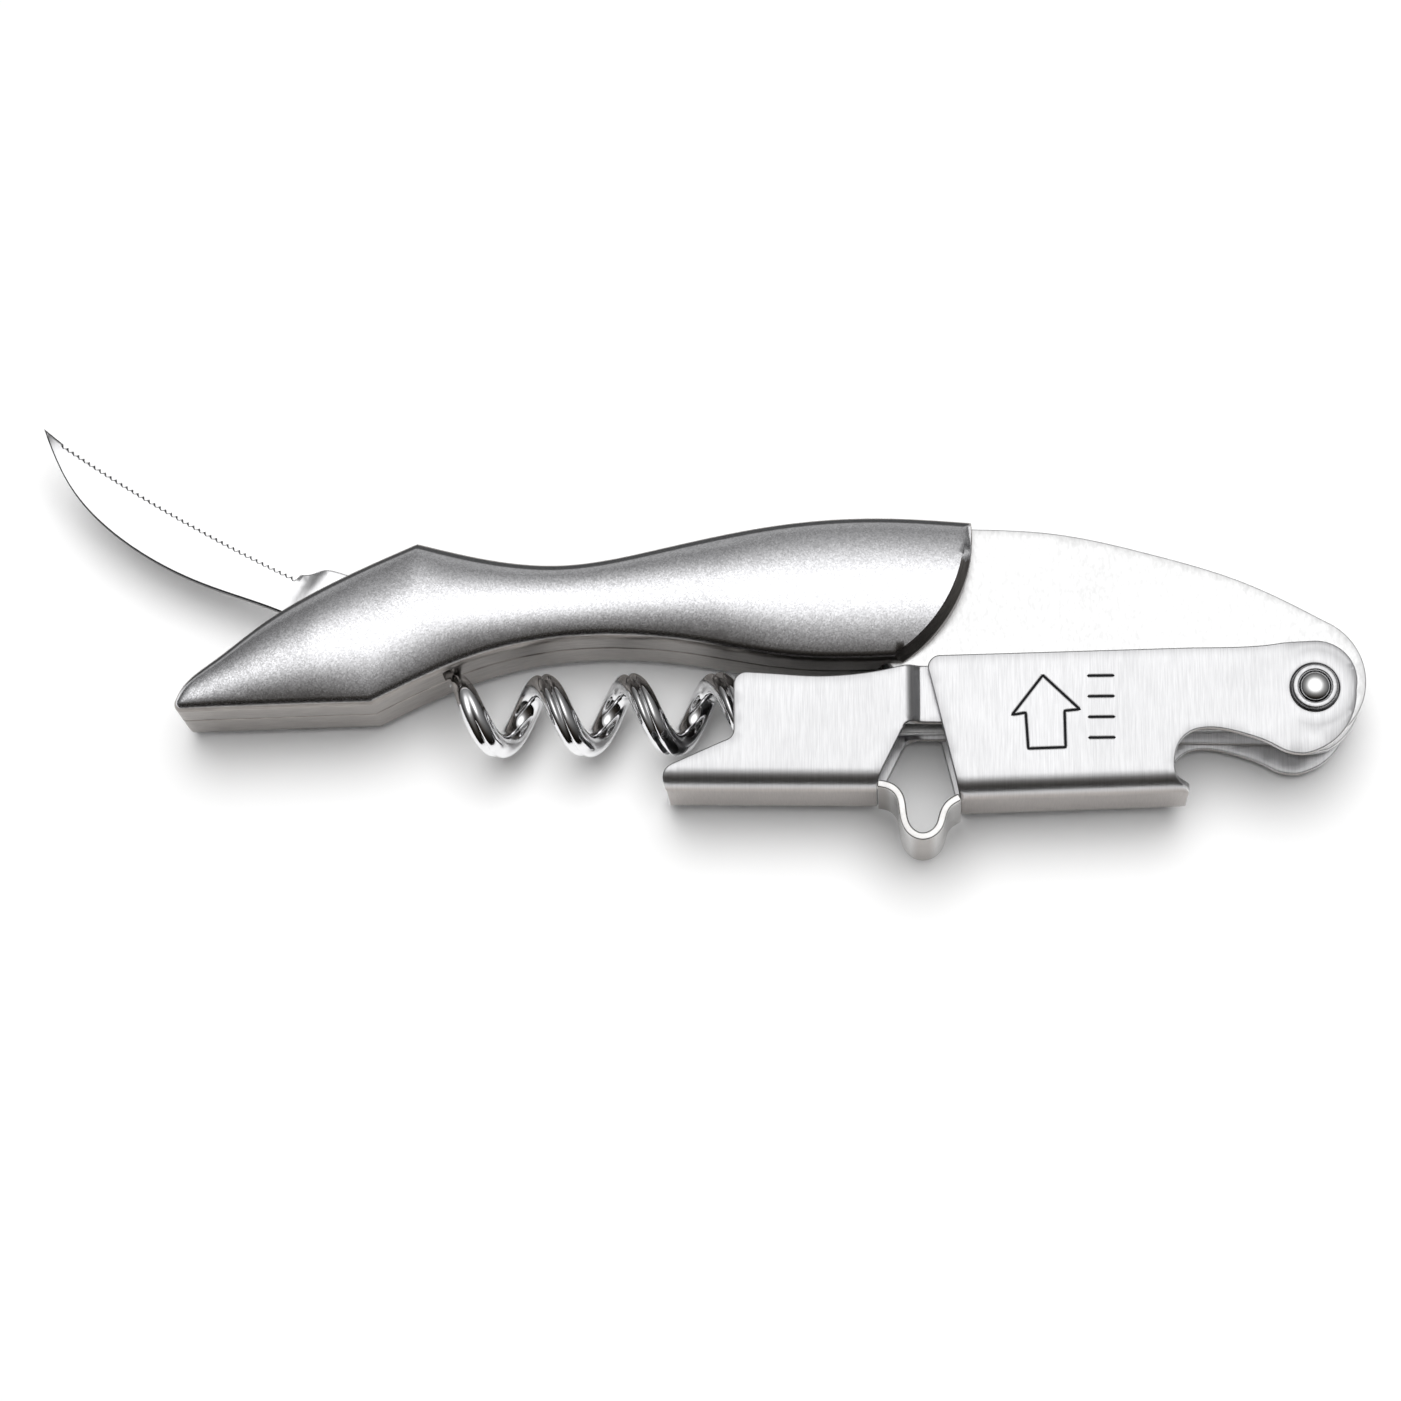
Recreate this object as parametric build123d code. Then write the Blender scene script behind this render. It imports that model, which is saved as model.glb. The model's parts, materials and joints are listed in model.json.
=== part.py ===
from build123d import *
import math
import os

# A waiter's corkscrew lying on its side with the blade open.
# It is drawn about its main pivot, with Z = 0 halfway through the tool,
# and moved at the end so that the origin is under the centre of the whole tool.
# +X points from the foot of the handle to the main pivot, +Y to the back of the handle.
# "near" is the upper half (+Z) as the tool lies, "far" is the lower half (-Z).

# ---- driving dimensions (mm) ----
HANDLE_TIP_X = -113.8        # foot of the handle, measured from the main pivot
RIM_Z = 5.9                  # rim of the shell's side wall
CROWN_Z = 7.0                # top of the shell's dome
LINER_IN_Z = 2.1             # liners run from here ...
LINER_OUT_Z = 3.3            # ... to here
ARM_IN_Z = 3.6               # narrow arms of the boot lever
ARM_OUT_Z = 4.5
CHANNEL_IN_Z = 4.6           # wide walls of both levers
CHANNEL_OUT_Z = 5.5
SHEET = CHANNEL_OUT_Z - CHANNEL_IN_Z
RUNNING_FIT = 0.05           # radial clearance of a pin in its hole
SEAM_Z = 0.8                 # where the two shells meet
SEAM = 0.03                  # half the gap between them
SHELL_OPEN_X = -43.0         # the shells have no side wall right of this
WALL_EDGE_Z = RIM_Z - 0.5    # where the dome starts at the shell's widest

BLADE_PIVOT = (-92.0, 7.5)
BLADE_ANGLE = 149.0          # direction of the open blade, from +X
BLADE_THICK = 1.5
BLADE_PIN_R = 1.5
BLADE_WASHER_R = 3.2
SLOT_HALF = BLADE_THICK / 2 + 0.3
TANG_R = 3.6
TOOTH_PITCH = 0.68
TOOTH_DEPTH = 0.28
TOOTH_COUNT = 42

WORM_PIVOT = (-45.0, -0.9)
WORM_PIN_R = 1.25
WORM_WASHER_R = 2.6
HUB_R = 2.7
HUB_HALF = 1.75
LUG_R = 3.0                  # liner's lug around the worm's pin
WIRE_R = 1.3
COIL_R = 3.0                 # radius of the wire's centreline
PITCH = 8.8
TIP_X = -86.2                # start of the worm's point
POINT_R = 0.25
COIL_TURNS = 3.5
TIP_TURNS = 0.5

MAIN_PIN_R = 1.5
RING_BORE_R = 1.52
RING_R = 2.0
RING_FLANGE_R = 2.35
RING_FLANGE_Z = 6.1
MAIN_HEAD_Z = 6.35
PIVOT_WASHER_R = 3.4
STRIP = 0.8                  # loop spring


def near_and_far(solid):
    """The solid above Z = 0 and its mirror image below it."""
    return solid, mirror(solid, about=Plane.XY)


def group(*solids):
    """Separate solids that share one node."""
    return Compound(children=[s.solid() for s in solids])


def slab(sketch, z_low, z_high):
    """A flat outline as a plate from z_low to z_high."""
    return extrude(Pos(0, 0, z_low) * sketch, amount=z_high - z_low)


def pin(at, radius, z_low, z_high):
    return Pos(at[0], at[1], (z_low + z_high) / 2) * Cylinder(radius, z_high - z_low)


def washer(at, bore_r, outer_r, z_low, z_high):
    return pin(at, outer_r, z_low, z_high) - pin(at, bore_r, z_low - 1, z_high + 1)


def outline(*curves):
    return make_face(Wire([c.edge() for c in curves]))


# ---- handle shells ----
def handle_outline():
    tip_top = (HANDLE_TIP_X, 0.0)
    heel = (-89.8, 15.7)
    crest = (-33.8, 17.25)
    end_low = (-40.8, 3.4)
    groove_end = (-94.0, -0.7)
    tip_low = (HANDLE_TIP_X + 0.5, -1.2)
    return outline(
        Spline(tip_top, (-105.0, 7.1), (-97.0, 12.2), heel),
        Spline(heel, (-82.0, 13.9), (-75.0, 13.3), (-66.0, 14.7), (-54.0, 17.1), (-43.0, 17.8), crest),
        ThreePointArc(crest, (-35.4, 9.2), end_low),
        Spline(end_low, (-52.5, 3.6), (-62.0, 5.2), (-71.5, 5.9), (-82.0, 4.4), groove_end),
        Line(groove_end, tip_low),
        Line(tip_low, tip_top),
    )


def dome_section():
    """Cross-section, in Y and height, that rounds the shell's outer face over to a flat crown."""
    crown_low, crown_high, low_y, high_y = 7.0, 11.5, -2.0, 19.0
    edge, crown = RIM_Z + WALL_EDGE_Z, RIM_Z + CROWN_Z
    return outline(
        Line((low_y, 0), (low_y, edge)),
        ThreePointArc((low_y, edge), (1.5, crown - 0.6), (crown_low, crown)),
        Line((crown_low, crown), (crown_high, crown)),
        ThreePointArc((crown_high, crown), (15.8, crown - 0.5), (high_y, edge)),
        Line((high_y, edge), (high_y, 0)),
        Line((high_y, 0), (low_y, 0)),
    )


def hollow_outline(gap=0.0):
    """Inside of the side wall, drawn in by a further gap for what fits in it."""
    foot = (-109.9 + gap, 0.8 + gap)
    heel = (-89.9, 14.0 - gap)
    end_x = SHELL_OPEN_X + 1
    top = [(x, y - gap) for x, y in ((-82.0, 12.4), (-75.0, 11.8), (-66.0, 13.2), (-54.0, 15.6))]
    belly = [(x, y + gap) for x, y in ((-62.0, 6.25), (-71.5, 6.95), (-82.0, 5.45), (-93.3, 0.8))]
    return outline(
        Spline(foot, (-104.1, 5.9 - gap), (-96.2, 10.9 - gap), heel),
        Spline(heel, *top, (end_x, 16.2 - gap)),
        Line((end_x, 16.2 - gap), (end_x, 4.8 + gap)),
        Spline((end_x, 4.8 + gap), (-52.5, 4.95 + gap), *belly),
        Line(belly[-1], foot),
    )


HANDLE = handle_outline()
SCREWS = ((-98.0, 5.5), (-58.0, 8.0))
SCREW_R = 1.0


def shell(seam_z):
    """The near shell, with its side wall down to seam_z."""
    across = Plane(origin=(-130, 0, -RIM_Z), x_dir=(0, 1, 0), z_dir=(1, 0, 0))
    dome = extrude(across * dome_section(), amount=120)
    body = slab(HANDLE, seam_z, CROWN_Z + 1) & dome
    pocket_top = LINER_OUT_Z + 0.02
    body -= slab(hollow_outline(), -RIM_Z, pocket_top)
    body -= Pos(SHELL_OPEN_X, 0, 0) * Box(
        40, 60, 2 * pocket_top, align=(Align.MIN, Align.CENTER, Align.CENTER))
    body -= Pos(-106, 6.2, 0) * Box(70, 20, 2 * SLOT_HALF, align=(Align.MIN, Align.MIN, Align.CENTER))
    for at in SCREWS:
        body -= pin(at, SCREW_R, 0, RIM_Z - 0.6)
    return body


def shells():
    far = shell(SEAM - SEAM_Z)
    return shell(SEAM_Z + SEAM), mirror(far, about=Plane.XY)


# ---- liners ----
def liner_outline():
    """The inside of the shells, the bare body that reaches the main pivot, and the worm's lug."""
    left, neck_x = SHELL_OPEN_X + 0.1, -41.0
    shoulder = (left, 17.5)
    body = outline(
        Line((left, 4.2), shoulder),
        Spline(shoulder, (-34.3, 17.2), (-25.5, 16.6), (-15.9, 14.4), (-6.5, 11.3), (1.5, 7.2)),
        ThreePointArc((1.5, 7.2), (5.3, 1.2), (1.8, -4.7)),
        Spline((1.8, -4.7), (-1.0, -5.0), (-5.0, -2.6)),
        Line((-5.0, -2.6), (neck_x, -2.6)),
        Line((neck_x, -2.6), (neck_x, 2.0)),
        Line((neck_x, 2.0), (left, 4.2)),
    )
    lug = Pos(*WORM_PIVOT) * Circle(LUG_R)
    reach = neck_x - WORM_PIVOT[0] + 0.5
    lug_neck = Pos(*WORM_PIVOT) * Rectangle(reach, 2 * LUG_R - 0.2, align=(Align.MIN, Align.CENTER))
    return hollow_outline(RUNNING_FIT) + body + lug + lug_neck


LINER = liner_outline()
RIVETS = ((-41.0, 13.0), (-30.0, 12.0), (-19.0, 9.5))
RIVET_R = 1.2


def near_liner():
    plate = slab(LINER, LINER_IN_Z, LINER_OUT_Z)
    holes = [(BLADE_PIVOT, BLADE_PIN_R), (WORM_PIVOT, WORM_PIN_R), ((0, 0), RING_R)]
    holes += [(at, RIVET_R) for at in RIVETS]
    holes += [(at, SCREW_R) for at in SCREWS]
    for at, radius in holes:
        plate -= pin(at, radius, LINER_IN_Z - 1, LINER_OUT_Z + 1)
    return plate


def centre_spacer():
    """Solid back of the body between the liners, right of the folded blade."""
    low = 7.6
    left, right = SHELL_OPEN_X + 0.1, -13.5
    block = outline(
        Line((left, low), (left, 17.4)),
        Spline((left, 17.4), (-34.3, 17.1), (-25.5, 16.5), (right, 13.6)),
        Line((right, 13.6), (right, low)),
        Line((right, low), (left, low)),
    )
    solid = slab(block, -LINER_IN_Z, LINER_IN_Z)
    for at in RIVETS:
        solid -= pin(at, RIVET_R, -LINER_OUT_Z, LINER_OUT_Z)
    return solid


# ---- blade ----
def along_blade(s, t):
    """Point s along the open blade from its pivot and t towards its spine."""
    a = math.radians(BLADE_ANGLE)
    return (BLADE_PIVOT[0] + s * math.cos(a) - t * math.sin(a),
            BLADE_PIVOT[1] + s * math.sin(a) + t * math.cos(a))


def blade():
    tip, heel_s, heel_t = (42.8, 0.0), 12.2, -0.75
    teeth = [along_blade(*tip)]
    for i in range(TOOTH_COUNT, 0, -1):
        s = heel_s + TOOTH_PITCH * (i - 0.5) + 0.8
        t = 0.75 - 0.0026 * (s - 27) ** 2
        teeth.append(along_blade(s, t - TOOTH_DEPTH / 2))
        teeth.append(along_blade(s - TOOTH_PITCH / 2, t + TOOTH_DEPTH / 2))
    bump = [along_blade(heel_s, heel_t), along_blade(11.0, -0.9), along_blade(10.2, -2.3)]
    root = along_blade(2.0, -3.3)
    spine = [along_blade(*p) for p in ((2.5, 3.4), (11.5, 3.9), (20.0, 5.5), (29.3, 5.8), (37.3, 3.7), tip)]
    cutter = make_face(Wire([e for e in Polyline(*teeth, *bump, root, spine[0]).edges()]
                            + [Spline(*spine).edge()]))
    tang = Pos(*BLADE_PIVOT) * Circle(TANG_R)
    solid = slab(cutter + tang, -BLADE_THICK / 2, BLADE_THICK / 2)
    return solid - pin(BLADE_PIVOT, BLADE_PIN_R + RUNNING_FIT, -5, 5)


# ---- worm ----
def worm():
    """Right-handed wire screw: a tapered point, the coil, and a shank with the pivot's eye."""
    axis = Plane(origin=(TIP_X, WORM_PIVOT[1], 0), x_dir=(0, 1, 0), z_dir=(1, 0, 0))
    slope = math.atan2(PITCH, 2 * math.pi * COIL_R)

    def section(turns, radius):
        a = 2 * math.pi * turns
        at = (COIL_R * math.cos(a), COIL_R * math.sin(a), PITCH * turns)
        along = (-math.sin(a) * math.cos(slope), math.cos(a) * math.cos(slope), math.sin(slope))
        return Plane(origin=at, z_dir=along) * Circle(radius)

    start = Pos(0, 0, PITCH * TIP_TURNS) * Rot(0, 0, 360 * TIP_TURNS)
    coil_path = start * Helix(PITCH, PITCH * COIL_TURNS, COIL_R)
    coil = sweep(section(TIP_TURNS, WIRE_R), path=coil_path, is_frenet=True)
    tip_path = Helix(PITCH, PITCH * TIP_TURNS, COIL_R)
    point = sweep([section(0, POINT_R), section(TIP_TURNS, WIRE_R)], path=tip_path,
                  multisection=True, is_frenet=True)
    end_turn = TIP_TURNS + COIL_TURNS
    a = 2 * math.pi * end_turn
    end = (COIL_R * math.cos(a), COIL_R * math.sin(a), PITCH * end_turn)
    eye_at = (0, 0, WORM_PIVOT[0] - TIP_X)
    shank = Solid.extrude(
        Face(Wire.make_circle(WIRE_R, Plane(origin=end, z_dir=Vector(*eye_at) - Vector(*end)))),
        Vector(*eye_at) - Vector(*end))
    knee = Pos(*end) * Sphere(WIRE_R)
    solid = axis * (coil + point + knee + shank)
    solid += pin(WORM_PIVOT, HUB_R, -HUB_HALF, HUB_HALF)
    return solid - pin(WORM_PIVOT, WORM_PIN_R + RUNNING_FIT, -5, 5)


# ---- levers ----
def fold(wall_outline, x_low, x_high, y_at_low, y_at_high):
    """Two walls joined by a web along their lower edge, as folded from one sheet."""
    wall = slab(wall_outline, CHANNEL_IN_Z, CHANNEL_OUT_Z)
    web = slab(outline(
        Line((x_low, y_at_low), (x_high, y_at_high)),
        Line((x_high, y_at_high), (x_high, y_at_high + SHEET)),
        Line((x_high, y_at_high + SHEET), (x_low, y_at_low + SHEET)),
        Line((x_low, y_at_low + SHEET), (x_low, y_at_low)),
    ), -CHANNEL_OUT_Z, CHANNEL_OUT_Z)
    return wall + mirror(wall, about=Plane.XY) + web


def boot_lever():
    foot, web_end = (-64.6, -9.5), (-43.5, -9.8)
    joggle_x, arm_x = -40.6, -39.1
    wall = outline(
        Line(foot, web_end),
        Line(web_end, (-43.5, -8.9)),
        Line((-43.5, -8.9), (joggle_x, -3.2)),
        Line((joggle_x, -3.2), (joggle_x, 2.7)),
        Spline((joggle_x, 2.7), (-44.5, 1.95), (-50.0, 1.7), (-56.2, 2.2)),
        ThreePointArc((-56.2, 2.2), (-57.3, 1.8), (-57.7, 0.8)),
        Line((-57.7, 0.8), (-57.7, -3.6)),
        ThreePointArc((-57.7, -3.6), (-57.9, -4.3), (-58.6, -4.7)),
        Line((-58.6, -4.7), (-64.0, -7.1)),
        ThreePointArc((-64.0, -7.1), (-64.7, -7.7), (-64.8, -8.6)),
        Line((-64.8, -8.6), foot),
    )
    channel = fold(wall, foot[0], web_end[0], foot[1], web_end[1])
    crank = outline(
        Line((joggle_x, CHANNEL_IN_Z), (joggle_x, CHANNEL_OUT_Z)),
        Line((joggle_x, CHANNEL_OUT_Z), (arm_x, ARM_OUT_Z)),
        Line((arm_x, ARM_OUT_Z), (arm_x, ARM_IN_Z)),
        Line((arm_x, ARM_IN_Z), (joggle_x, CHANNEL_IN_Z)),
    )
    above = Plane(origin=(0, 2.6, 0), x_dir=(1, 0, 0), z_dir=(0, -1, 0))
    crank = extrude(above * crank, amount=5.5)
    arm = outline(
        Line((arm_x, -2.9), (-3.0, -3.8)),
        ThreePointArc((-3.0, -3.8), (4.0, 0.0), (-1.0, 3.9)),
        Line((-1.0, 3.9), (arm_x, 2.6)),
        Line((arm_x, 2.6), (arm_x, -2.9)),
    )
    side = crank + slab(arm, ARM_IN_Z, ARM_OUT_Z)
    lever = channel + side + mirror(side, about=Plane.XY)
    return lever - pin((0, 0), RING_R + RUNNING_FIT, -9, 9)


PUSH_LOW_LEFT = (-35.2, -10.7)
PUSH_LOW_RIGHT = (-12.5, -10.1)


def push_lever():
    wall = outline(
        Line(PUSH_LOW_LEFT, PUSH_LOW_RIGHT),
        Line(PUSH_LOW_RIGHT, (-12.6, -9.7)),
        Spline((-12.6, -9.7), (-13.9, -8.2), (-13.6, -5.8), (-11.7, -4.1)),
        Spline((-11.7, -4.1), (-8.8, -4.2), (-4.9, -5.6), (-2.2, -6.65)),
        ThreePointArc((-2.2, -6.65), (1.9, -5.2), (4.0, -1.2)),
        ThreePointArc((4.0, -1.2), (3.3, 3.3), (-0.6, 4.8)),
        Spline((-0.6, 4.8), (-5.0, 4.35), (-12.0, 4.2)),
        Line((-12.0, 4.2), (-36.9, 3.75)),
        ThreePointArc((-36.9, 3.75), (-38.0, 3.3), (-38.3, 2.2)),
        Line((-38.3, 2.2), PUSH_LOW_LEFT),
    )
    lever = fold(wall, PUSH_LOW_LEFT[0], PUSH_LOW_RIGHT[0], PUSH_LOW_LEFT[1], PUSH_LOW_RIGHT[1])
    return lever - pin((0, 0), RING_R + RUNNING_FIT, -9, 9)


def loop_spring():
    """Strip bent into a loop that hangs below the gap between the levers."""
    path = FilletPolyline(
        (-43.4, -9.35), (-41.3, -9.6), (-40.9, -14.7), (-37.3, -14.7), (-36.8, -11.3), (-35.3, -10.9),
        radius=[0.9, 1.6, 1.6, 0.7])
    band = trace(path, line_width=STRIP)
    return slab(band, -CHANNEL_OUT_Z, CHANNEL_OUT_Z)


# ---- pins, rings, rivets and screws ----
def near_pivot_ring():
    """Bushing that the levers turn on, with a flange outside the push lever."""
    ring = pin((0, 0), RING_R, 0.0, CHANNEL_OUT_Z + 0.1)
    ring += pin((0, 0), RING_FLANGE_R, CHANNEL_OUT_Z + 0.1, RING_FLANGE_Z)
    return ring - pin((0, 0), RING_BORE_R, -1, 9)


def main_rivet():
    rod = pin((0, 0), MAIN_PIN_R, -MAIN_HEAD_Z, MAIN_HEAD_Z)
    return fillet(rod.edges().filter_by(GeomType.CIRCLE), MAIN_PIN_R / 2)


def near_shell_screws():
    """Countersunk from inside the liner into the shell."""
    screws = []
    for at in SCREWS:
        screws.append(pin(at, SCREW_R, LINER_IN_Z, RIM_Z - 0.7))
    return group(*screws)


def build():
    nodes = {}
    nodes["near_shell"], nodes["far_shell"] = shells()
    for name, near in (("liner", near_liner()), ("pivot_ring", near_pivot_ring()),
                       ("shell_screws", near_shell_screws())):
        nodes["near_" + name], nodes["far_" + name] = near_and_far(near)
    nodes["centre_spacer"] = centre_spacer()
    nodes["blade"] = blade()
    nodes["worm"] = worm()
    nodes["boot_lever"] = boot_lever()
    nodes["push_lever"] = push_lever()
    nodes["loop_spring"] = loop_spring()
    nodes["main_rivet"] = main_rivet()
    nodes["blade_pin"] = pin(BLADE_PIVOT, BLADE_PIN_R, -LINER_OUT_Z, LINER_OUT_Z)
    nodes["worm_pin"] = pin(WORM_PIVOT, WORM_PIN_R, -LINER_OUT_Z - 0.6, LINER_OUT_Z + 0.6)
    blade_face = BLADE_THICK / 2 + RUNNING_FIT
    nodes["blade_washers"] = group(*near_and_far(
        washer(BLADE_PIVOT, BLADE_PIN_R + RUNNING_FIT, BLADE_WASHER_R, blade_face, LINER_IN_Z)))
    nodes["worm_washers"] = group(*near_and_far(
        washer(WORM_PIVOT, WORM_PIN_R + RUNNING_FIT, WORM_WASHER_R, HUB_HALF + RUNNING_FIT, LINER_IN_Z)))
    nodes["pivot_washers"] = group(*near_and_far(
        washer((0, 0), RING_R + RUNNING_FIT, PIVOT_WASHER_R, LINER_OUT_Z, ARM_IN_Z - RUNNING_FIT)))
    nodes["liner_rivets"] = group(*[pin(at, RIVET_R, -LINER_OUT_Z, LINER_OUT_Z) for at in RIVETS])
    return nodes


def export(nodes):
    """Move everything so that the origin is under the centre, and write one file per node."""
    boxes = [shape.bounding_box() for shape in nodes.values()]
    low = [min(tuple(b.min)[i] for b in boxes) for i in range(3)]
    high = [max(tuple(b.max)[i] for b in boxes) for i in range(3)]
    shift = Vector(-(low[0] + high[0]) / 2, -(low[1] + high[1]) / 2, -low[2])
    os.makedirs("parts", exist_ok=True)
    for name, shape in nodes.items():
        export_step(Pos(*shift) * shape, f"parts/{name}.step")
    for name, at in (("main pivot", (0, 0)), ("blade pivot", BLADE_PIVOT), ("worm pivot", WORM_PIVOT)):
        print(f"{name} in metres: {(at[0] + shift.X) / 1000:.6f} {(at[1] + shift.Y) / 1000:.6f} "
              f"{shift.Z / 1000:.6f}")
    print("shift", shift)


export(build())
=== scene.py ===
import json
import math
import bpy
import bmesh
import numpy as np
from mathutils import Matrix, Vector
from mathutils.geometry import delaunay_2d_cdt


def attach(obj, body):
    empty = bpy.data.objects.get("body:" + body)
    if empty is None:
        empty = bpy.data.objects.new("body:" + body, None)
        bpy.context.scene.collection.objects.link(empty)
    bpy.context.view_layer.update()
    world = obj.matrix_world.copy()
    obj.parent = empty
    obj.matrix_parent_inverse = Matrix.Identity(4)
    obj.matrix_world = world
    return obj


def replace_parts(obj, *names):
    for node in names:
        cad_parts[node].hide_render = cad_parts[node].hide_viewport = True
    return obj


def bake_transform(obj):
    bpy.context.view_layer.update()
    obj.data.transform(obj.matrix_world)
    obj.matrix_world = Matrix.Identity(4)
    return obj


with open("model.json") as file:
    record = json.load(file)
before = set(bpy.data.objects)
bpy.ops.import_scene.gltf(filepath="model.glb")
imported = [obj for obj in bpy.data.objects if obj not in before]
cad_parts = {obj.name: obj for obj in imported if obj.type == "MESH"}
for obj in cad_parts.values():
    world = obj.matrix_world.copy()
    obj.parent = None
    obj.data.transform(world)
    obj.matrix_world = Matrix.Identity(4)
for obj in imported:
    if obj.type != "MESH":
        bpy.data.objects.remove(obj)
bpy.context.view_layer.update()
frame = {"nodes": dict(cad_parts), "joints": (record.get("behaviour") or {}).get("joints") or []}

# Every piece is drawn in millimetres about the main pivot, as the design is, with Z = 0 at the
# parting plane, and turned into metres in the row's frame when its mesh is made.
MM = 0.001
JOINT_AT = {j["name"]: Vector(j["pos_m"]) for j in frame["joints"]}
PIVOT = JOINT_AT["lever_swing"]
BLADE_PIVOT = (JOINT_AT["blade_fold"] - PIVOT) / MM
WORM_PIVOT = (JOINT_AT["worm_swing"] - PIVOT) / MM


# ---------------------------------------------------------------- curves
def spline(points, step=0.35):
    """Natural cubic spline through the points, sampled about every step."""
    p = np.array(points, float)
    h = np.linalg.norm(np.diff(p, axis=0), axis=1)
    t = np.concatenate([[0], np.cumsum(h)])
    n = len(p)
    a = np.eye(n)
    b = np.zeros_like(p)
    for i in range(1, n - 1):
        a[i, i - 1:i + 2] = h[i - 1], 2 * (h[i - 1] + h[i]), h[i]
        b[i] = 6 * ((p[i + 1] - p[i]) / h[i] - (p[i] - p[i - 1]) / h[i - 1])
    m = np.linalg.solve(a, b)
    out = []
    for q in np.linspace(0, t[-1], max(3, int(t[-1] / step) + 1)):
        i = min(np.searchsorted(t, q, "right") - 1, n - 2)
        u, v = t[i + 1] - q, q - t[i]
        out.append(m[i] * u ** 3 / (6 * h[i]) + m[i + 1] * v ** 3 / (6 * h[i])
                   + (p[i] / h[i] - m[i] * h[i] / 6) * u + (p[i + 1] / h[i] - m[i + 1] * h[i] / 6) * v)
    return np.array(out)


def line(a, b, step=0.6):
    """Straight line, sampled about every step."""
    a, b = np.array(a, float), np.array(b, float)
    n = max(2, int(np.linalg.norm(b - a) / step) + 1)
    return a + (b - a) * np.linspace(0, 1, n)[:, None]


def arc(a, via, b, step=0.2):
    """Circular arc through three points."""
    (ax, ay), (bx, by), (cx, cy) = a, via, b
    d = 2 * (ax * (by - cy) + bx * (cy - ay) + cx * (ay - by))
    sa, sb, sc = ax * ax + ay * ay, bx * bx + by * by, cx * cx + cy * cy
    ux = (sa * (by - cy) + sb * (cy - ay) + sc * (ay - by)) / d
    uy = (sa * (cx - bx) + sb * (ax - cx) + sc * (bx - ax)) / d
    r = math.hypot(ax - ux, ay - uy)
    start, mid, end = (math.atan2(q[1] - uy, q[0] - ux) for q in (a, via, b))
    sweep = (end - start) % (2 * math.pi)
    if (mid - start) % (2 * math.pi) > sweep:
        sweep -= 2 * math.pi
    n = max(4, int(abs(sweep) * r / step) + 1)
    t = start + sweep * np.linspace(0, 1, n)
    return np.stack([ux + r * np.cos(t), uy + r * np.sin(t)], 1)


def circle(at, radius, count=48):
    """Closed circle, with no doubled end point."""
    t = 2 * math.pi * np.arange(count) / count
    return np.stack([at[0] + radius * np.cos(t), at[1] + radius * np.sin(t)], 1)


def joined(*pieces):
    """Curves end to end as one open line, with no doubled points."""
    p = np.concatenate([np.array(q, float) for q in pieces])
    keep = [0]
    for i in range(1, len(p)):
        if np.linalg.norm(p[i] - p[keep[-1]]) > 0.02:
            keep.append(i)
    return p[keep]


def closed(*pieces):
    """Curves joined into one loop that runs anticlockwise."""
    p = joined(*pieces)
    if np.linalg.norm(p[0] - p[-1]) < 0.02:
        p = p[:-1]
    area = np.sum(p[:, 0] * np.roll(p[:, 1], -1) - np.roll(p[:, 0], -1) * p[:, 1])
    return p if area > 0 else p[::-1]


def smoothstep(x):
    x = np.clip(x, 0, 1)
    return x * x * (3 - 2 * x)


# ---------------------------------------------------------------- flat patterns
def edge_distance(points, loops):
    """Each point's distance to the nearest of the loops."""
    best = np.full(len(points), 1e9)
    for a in loops:
        ab = np.roll(a, -1, axis=0) - a
        square = (ab ** 2).sum(1)
        for i in range(0, len(points), 2000):
            ap = points[i:i + 2000, None] - a[None]
            t = np.clip((ap * ab).sum(2) / square, 0, 1)
            d = np.linalg.norm(ap - t[..., None] * ab, axis=2).min(1)
            best[i:i + 2000] = np.minimum(best[i:i + 2000], d)
    return best


def inside(points, loop):
    """Whether each point is inside the loop."""
    x, y = points[:, 0, None], points[:, 1, None]
    x0, y0 = loop[:, 0], loop[:, 1]
    x1, y1 = np.roll(x0, -1), np.roll(y0, -1)
    across = (y0 > y) != (y1 > y)
    hit = x < (x1 - x0) * (y - y0) / np.where(y1 == y0, 1e-12, y1 - y0) + x0
    return (np.logical_and(across, hit).sum(1) % 2) == 1


def drawn_in(loop, distance):
    """The loop's points moved inwards; the loop runs anticlockwise."""
    along = np.roll(loop, -1, axis=0) - np.roll(loop, 1, axis=0)
    along /= np.linalg.norm(along, axis=1)[:, None]
    return loop + distance * np.stack([-along[:, 1], along[:, 0]], 1)


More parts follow.
